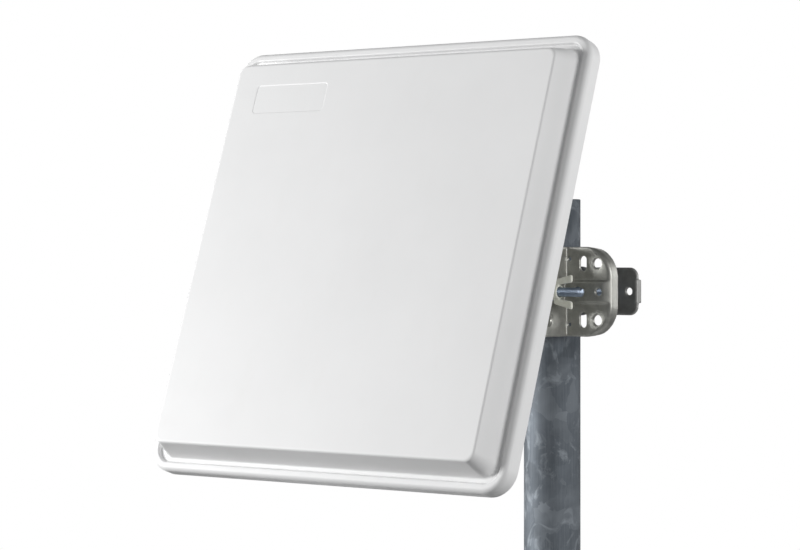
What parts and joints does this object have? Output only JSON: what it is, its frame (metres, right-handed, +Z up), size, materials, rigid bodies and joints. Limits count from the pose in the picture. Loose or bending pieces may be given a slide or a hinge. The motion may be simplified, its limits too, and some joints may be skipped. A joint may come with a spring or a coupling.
{
  "type": "flat-panel antenna on a tilting mast bracket",
  "caption": "Square flat-panel antenna with a white moulded radome, held in front of a clamped mast by a double-jointed tilt bracket.",
  "frame": {"origin": "centre of the mast's foot, on the mast's axis", "axes": "+Z up along the mast, -Y the way the panel faces at rest, +X on the right when the panel is seen from the front"},
  "size_m": [0.3732, 0.3628, 0.5259],
  "materials": {
    "radome_white": "lightly textured satin",
    "cover_aluminium": "satin, lightly brushed",
    "rubber_black": "matt",
    "bracket_steel": "dark olive-grey passivated steel",
    "clamp_steel": "dark grey passivated steel",
    "galvanised": "hot-dip galvanised with spangle",
    "blue_zinc": "bright blue zinc plate",
    "cast_zinc": "pale yellowish cast zinc",
    "aluminium": "mill finish",
    "board_green": "solder mask",
    "copper": "bare copper",
    "nickel": "nickel plate",
    "ptfe": "smooth",
    "black_plastic": "fine texture"
  },
  "bodies": {
    "mast": {"mast_tube": "galvanised"},
    "clamp": {"mast_bracket": "bracket_steel", "rear_clamp": "clamp_steel", "clamp_bolt_left": "blue_zinc", "clamp_bolt_right": "blue_zinc", "clamp_washer_left": "blue_zinc", "clamp_washer_right": "blue_zinc", "clamp_nut_left": "blue_zinc", "clamp_nut_right": "blue_zinc", "lift_pivot_bolt": "blue_zinc", "lift_washer": "blue_zinc"},
    "lift_wing": {"lift_wing_nut": "cast_zinc"},
    "arm": {"arm_left": "bracket_steel", "arm_right": "bracket_steel", "arm_spacer": "aluminium", "arm_tie_bolt": "blue_zinc", "arm_tie_nut": "blue_zinc", "tilt_pivot_bolt": "blue_zinc", "tilt_washer": "blue_zinc"},
    "tilt_wing": {"tilt_wing_nut": "cast_zinc"},
    "panel": {"radome": "radome_white", "back_cover": "cover_aluminium", "rim_gasket": "rubber_black", "reflector_tray": "aluminium", "patch_board": "board_green", "patch_array": "copper", "feed_coax": "copper", "vent_plug": "black_plastic", "panel_yoke": "bracket_steel", "connector_body": "nickel", "connector_insulator": "ptfe", "connector_pin": "copper", "connector_gasket": "rubber_black", "connector_nut": "nickel", "standoff_1": "nickel", "standoff_2": "nickel", "standoff_3": "nickel", "standoff_4": "nickel", "board_screw_1": "nickel", "board_screw_2": "nickel", "board_screw_3": "nickel", "board_screw_4": "nickel", "cover_screw_1": "nickel", "cover_screw_2": "nickel", "cover_screw_3": "nickel", "cover_screw_4": "nickel", "cover_screw_5": "nickel", "cover_screw_6": "nickel", "cover_screw_7": "nickel", "cover_screw_8": "nickel", "stud_nut_1": "blue_zinc", "stud_nut_2": "blue_zinc", "stud_nut_3": "blue_zinc", "stud_nut_4": "blue_zinc"}
  },
  "joints": [
    {"name": "azimuth", "type": "hinge", "parent": "mast", "child": "clamp", "pos_m": [0, 0, 0.32], "axis": [0, 0, 1], "continuous": true},
    {"name": "arm_lift", "type": "hinge", "parent": "clamp", "child": "arm", "pos_m": [0, -0.044, 0.32], "axis": [-1, 0, 0], "range_deg": [-30, 30]},
    {"name": "panel_tilt", "type": "hinge", "parent": "arm", "child": "panel", "pos_m": [0, -0.171, 0.32], "axis": [-1, 0, 0], "range_deg": [-48.7, 26.3]},
    {"name": "lift_wing_turn", "type": "hinge", "parent": "clamp", "child": "lift_wing", "pos_m": [0, -0.044, 0.32], "axis": [1, 0, 0], "continuous": true},
    {"name": "tilt_wing_turn", "type": "hinge", "parent": "arm", "child": "tilt_wing", "pos_m": [0, -0.171, 0.32], "axis": [1, 0, 0], "continuous": true}
  ]
}
